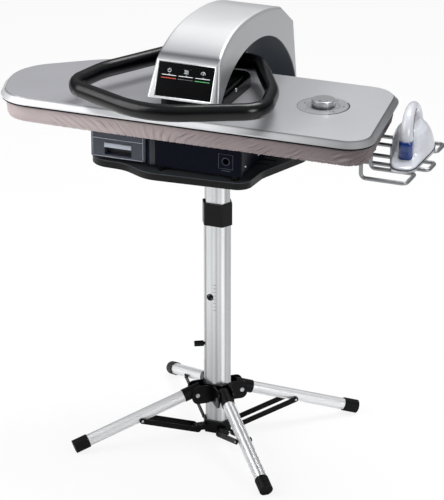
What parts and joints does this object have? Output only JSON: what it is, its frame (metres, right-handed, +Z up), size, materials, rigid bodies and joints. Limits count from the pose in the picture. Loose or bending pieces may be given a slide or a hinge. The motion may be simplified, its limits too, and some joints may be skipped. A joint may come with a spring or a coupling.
{
  "type": "steam ironing press",
  "caption": "Steam ironing press with an arched hood, loop handle, long padded board, iron rest and side iron, on a height-adjustable column with folding braced legs.",
  "frame": {"origin": "floor point under the middle of the whole part's box", "axes": "+X along the board towards the iron rest, +Y away from the user, +Z up"},
  "size_m": [1.1112, 0.698, 1.1121],
  "materials": {
    "satin_silver": "satin silver, slightly sparkled",
    "panel_black": "gloss black with printed lines",
    "key_black": "gloss black",
    "grip_black": "satin black, soft sheen",
    "block_black": "satin black",
    "liner_grey": "dark grey, fine grain",
    "dial_metal": "turned and brushed",
    "plate_alloy": "smooth cast alloy",
    "casting": "cast alloy",
    "base_navy": "dark navy, semi-gloss",
    "tank_smoke": "smoky, translucent",
    "cap_black": "fine grain",
    "tray_charcoal": "charcoal, satin",
    "tube_alloy": "drawn and anodised",
    "fitting_black": "moulded black",
    "foot_rubber": "moulded rubber",
    "strut_black": "black powder coat",
    "pin_steel": "bright zinc",
    "bracket_steel": "black powder coat",
    "cover_cloth": "taupe woven cotton",
    "pad_foam": "open foam",
    "iron_white": "gloss white",
    "iron_blue": "clear deep blue",
    "rack_chrome": "satin chrome wire"
  },
  "bodies": {
    "stand": {"outer_column": "tube_alloy", "column_collar": "fitting_black", "leg_hub": "fitting_black", "leg_pins": "pin_steel"},
    "lift": {"inner_column": "tube_alloy", "tray_bracket": "bracket_steel", "tray": "tray_charcoal", "base_housing": "base_navy", "base_feet": "foot_rubber", "base_lid": "base_navy", "boiler": "casting", "pump": "cap_black", "iron_socket": "base_navy", "board_pan": "bracket_steel", "foam_pad": "pad_foam", "pad_cover": "cover_cloth", "iron_rack": "rack_chrome", "hinge_bracket": "bracket_steel", "hinge_pin": "pin_steel", "lift_springs": "pin_steel"},
    "tank": {"water_tank": "tank_smoke", "tank_cap": "cap_black"},
    "arm": {"hood_shell": "satin_silver", "hood_liner": "liner_grey", "display_panel": "panel_black", "arm_frame": "casting", "arm_block": "block_black", "plate_cover": "satin_silver", "heat_plate": "plate_alloy", "dial_ring": "dial_metal"},
    "handle": {"handle_loop": "grip_black"},
    "dial": {"dial_knob": "dial_metal"},
    "power_key": {"key_power": "key_black"},
    "steam_key": {"key_steam": "key_black"},
    "pressure_key": {"key_pressure": "key_black"},
    "iron": {"iron_sole": "plate_alloy", "iron_shell": "iron_white", "iron_tank": "iron_blue"},
    "trigger": {"steam_trigger": "cap_black"},
    "button": {"height_button": "cap_black"},
    "lock": {"lock_knob": "fitting_black"},
    "brace": {"brace_sleeve": "tube_alloy", "brace_collar": "fitting_black", "brace_pins": "pin_steel"},
    "leg_1": {"leg_tube_1": "tube_alloy", "leg_boot_1": "fitting_black", "foot_cap_1": "foot_rubber"},
    "strut_link_1": {"strut_1": "strut_black"},
    "leg_2": {"leg_tube_2": "tube_alloy", "leg_boot_2": "fitting_black", "foot_cap_2": "foot_rubber"},
    "strut_link_2": {"strut_2": "strut_black"},
    "leg_3": {"leg_tube_3": "tube_alloy", "leg_boot_3": "fitting_black", "foot_cap_3": "foot_rubber"},
    "strut_link_3": {"strut_3": "strut_black"},
    "leg_4": {"leg_tube_4": "tube_alloy", "leg_boot_4": "fitting_black", "foot_cap_4": "foot_rubber"},
    "strut_link_4": {"strut_4": "strut_black"}
  },
  "joints": [
    {"name": "height_slide", "type": "slide", "parent": "stand", "child": "lift", "axis": [0, 0, 1], "range_m": [0, 0.105]},
    {"name": "tank_slide", "type": "slide", "parent": "lift", "child": "tank", "axis": [0, -1, 0], "range_m": [0, 0.14]},
    {"name": "press_hinge", "type": "hinge", "parent": "lift", "child": "arm", "pos_m": [-0.0325, 0.29697, 0.848], "axis": [-1, 0, 0], "range_deg": [0, 40]},
    {"name": "handle_hinge", "type": "hinge", "parent": "arm", "child": "handle", "pos_m": [-0.0325, 0.10197, 0.985], "axis": [-1, 0, 0], "range_deg": [0, 12]},
    {"name": "dial_turn", "type": "hinge", "parent": "arm", "child": "dial", "pos_m": [0.2645, -0.00502, 0.934], "axis": [0, 0, 1], "range_deg": [0, 270]},
    {"name": "iron_lift_off", "type": "slide", "parent": "lift", "child": "iron", "axis": [0.2, 0, 0.9798], "range_m": [0, 0.15]},
    {"name": "trigger_slide", "type": "slide", "parent": "iron", "child": "trigger", "axis": [0, 0, 1], "range_m": [0, 0.003], "stiffness_N_per_m": 200},
    {"name": "button_slide", "type": "slide", "parent": "stand", "child": "button", "axis": [0, 1, 0], "range_m": [0, 0.003], "stiffness_N_per_m": 400},
    {"name": "lock_slide", "type": "slide", "parent": "stand", "child": "lock", "axis": [-0.8725, -0.4886, 0], "range_m": [0, 0.007], "stiffness_N_per_m": 400},
    {"name": "power_key_slide", "type": "slide", "parent": "arm", "child": "power_key", "axis": [0, 0.9181, -0.3964], "range_m": [0, 0.0005], "stiffness_N_per_m": 200},
    {"name": "steam_key_slide", "type": "slide", "parent": "arm", "child": "steam_key", "axis": [0, 0.9181, -0.3964], "range_m": [0, 0.0005], "stiffness_N_per_m": 200},
    {"name": "pressure_key_slide", "type": "slide", "parent": "arm", "child": "pressure_key", "axis": [0, 0.9181, -0.3964], "range_m": [0, 0.0005], "stiffness_N_per_m": 200},
    {"name": "leg_fold_1", "type": "hinge", "parent": "stand", "child": "leg_1", "pos_m": [0.03039, 0.03562, 0.121], "axis": [-0.6441, 0.7649, 0], "range_deg": [0, 66]},
    {"name": "strut_turn_1", "type": "hinge", "parent": "leg_1", "child": "strut_link_1", "pos_m": [0.14395, 0.13124, 0.06989], "axis": [-0.6441, 0.7649, 0], "range_deg": [-132.99, 0]},
    {"name": "leg_fold_2", "type": "hinge", "parent": "stand", "child": "leg_2", "pos_m": [-0.05415, 0.04287, 0.121], "axis": [-0.7649, -0.6441, 0], "range_deg": [0, 66]},
    {"name": "strut_turn_2", "type": "hinge", "parent": "leg_2", "child": "strut_link_2", "pos_m": [-0.14977, 0.15642, 0.06989], "axis": [-0.7649, -0.6441, 0], "range_deg": [-132.99, 0]},
    {"name": "leg_fold_3", "type": "hinge", "parent": "stand", "child": "leg_3", "pos_m": [-0.06139, -0.04167, 0.121], "axis": [0.6441, -0.7649, 0], "range_deg": [0, 66]},
    {"name": "strut_turn_3", "type": "hinge", "parent": "leg_3", "child": "strut_link_3", "pos_m": [-0.17495, -0.13729, 0.06989], "axis": [0.6441, -0.7649, 0], "range_deg": [-132.99, 0]},
    {"name": "leg_fold_4", "type": "hinge", "parent": "stand", "child": "leg_4", "pos_m": [0.02315, -0.04892, 0.121], "axis": [0.7649, 0.6441, 0], "range_deg": [0, 66]},
    {"name": "strut_turn_4", "type": "hinge", "parent": "leg_4", "child": "strut_link_4", "pos_m": [0.11877, -0.16247, 0.06989], "axis": [0.7649, 0.6441, 0], "range_deg": [-132.99, 0]},
    {"name": "brace_slide", "type": "slide", "parent": "stand", "child": "brace", "axis": [0, 0, -1], "range_m": [0, 0.21531]}
  ],
  "couplings": [
    {"joint": "strut_turn_1", "follows": "leg_fold_1", "ratio": -2.0147},
    {"joint": "leg_fold_2", "follows": "leg_fold_1", "ratio": 1},
    {"joint": "strut_turn_2", "follows": "leg_fold_1", "ratio": -2.0147},
    {"joint": "leg_fold_3", "follows": "leg_fold_1", "ratio": 1},
    {"joint": "strut_turn_3", "follows": "leg_fold_1", "ratio": -2.0147},
    {"joint": "leg_fold_4", "follows": "leg_fold_1", "ratio": 1},
    {"joint": "strut_turn_4", "follows": "leg_fold_1", "ratio": -2.0147},
    {"joint": "brace_slide", "follows": "leg_fold_1", "m_per_rad": 0.18682}
  ]
}
